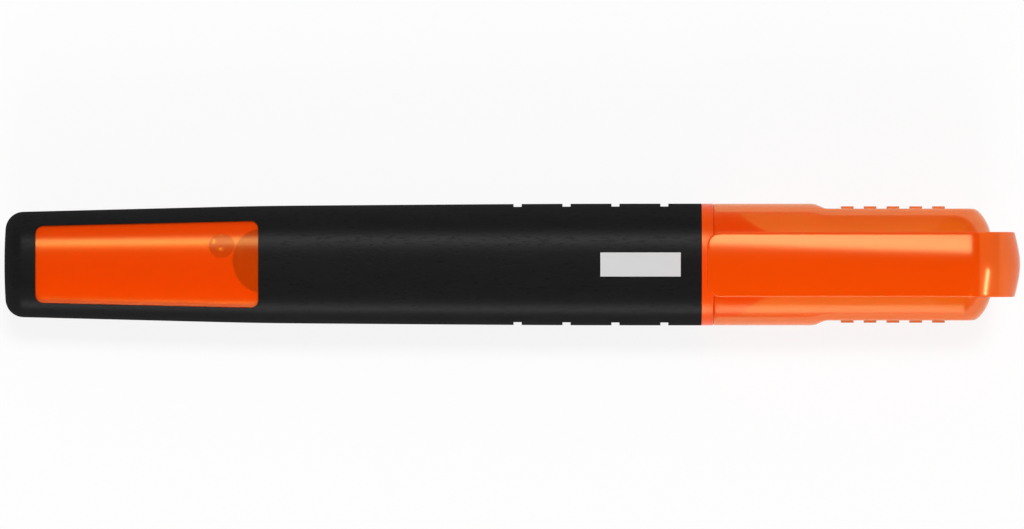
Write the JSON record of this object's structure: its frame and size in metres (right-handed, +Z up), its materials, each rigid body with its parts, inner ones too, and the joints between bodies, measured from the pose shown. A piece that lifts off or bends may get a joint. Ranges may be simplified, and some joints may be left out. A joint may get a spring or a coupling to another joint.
{
  "type": "highlighter pen",
  "caption": "Capped liquid-ink highlighter: oval soft-sleeved barrel with clear ink windows, a chisel nib, and a clear pull-off cap with a looped pocket clip.",
  "frame": {"origin": "on the surface that the pen lies on, under the middle of its length", "axes": "+X along the barrel's axis from the closed tail to the loop of the clip, +Y across the width, +Z up through the thickness, towards the clip"},
  "size_m": [0.138, 0.0166, 0.0167],
  "materials": {
    "soft_black": "soft-touch with a fine moulded grain",
    "clear_orange_tank": "clear orange, polished",
    "orange_ink": "fluorescent liquid",
    "moulded_orange": "moulded, satin",
    "natural_plastic": "moulded, unpigmented",
    "inked_fibre": "pressed fibre soaked with ink",
    "clear_orange_cap": "clear orange, polished"
  },
  "bodies": {
    "barrel": {"barrel_sleeve": "soft_black", "ink_tank": "clear_orange_tank", "ink_charge": "orange_ink", "ink_regulator": "natural_plastic", "feed_rod": "inked_fibre", "front_section": "moulded_orange", "nib": "inked_fibre"},
    "cap": {"cap_shell": "clear_orange_cap", "inner_cap": "clear_orange_cap"},
    "clip": {"clip": "clear_orange_cap"}
  },
  "joints": [
    {"name": "cap_pull", "type": "slide", "parent": "barrel", "child": "cap", "axis": [1, 0, 0], "range_m": [0, 0.045]},
    {"name": "clip_flex", "type": "hinge", "parent": "cap", "child": "clip", "pos_m": [0.06482, 0, 0.00195], "axis": [0, 1, 0], "range_deg": [0, 5], "stiffness_Nm_per_rad": 2}
  ]
}
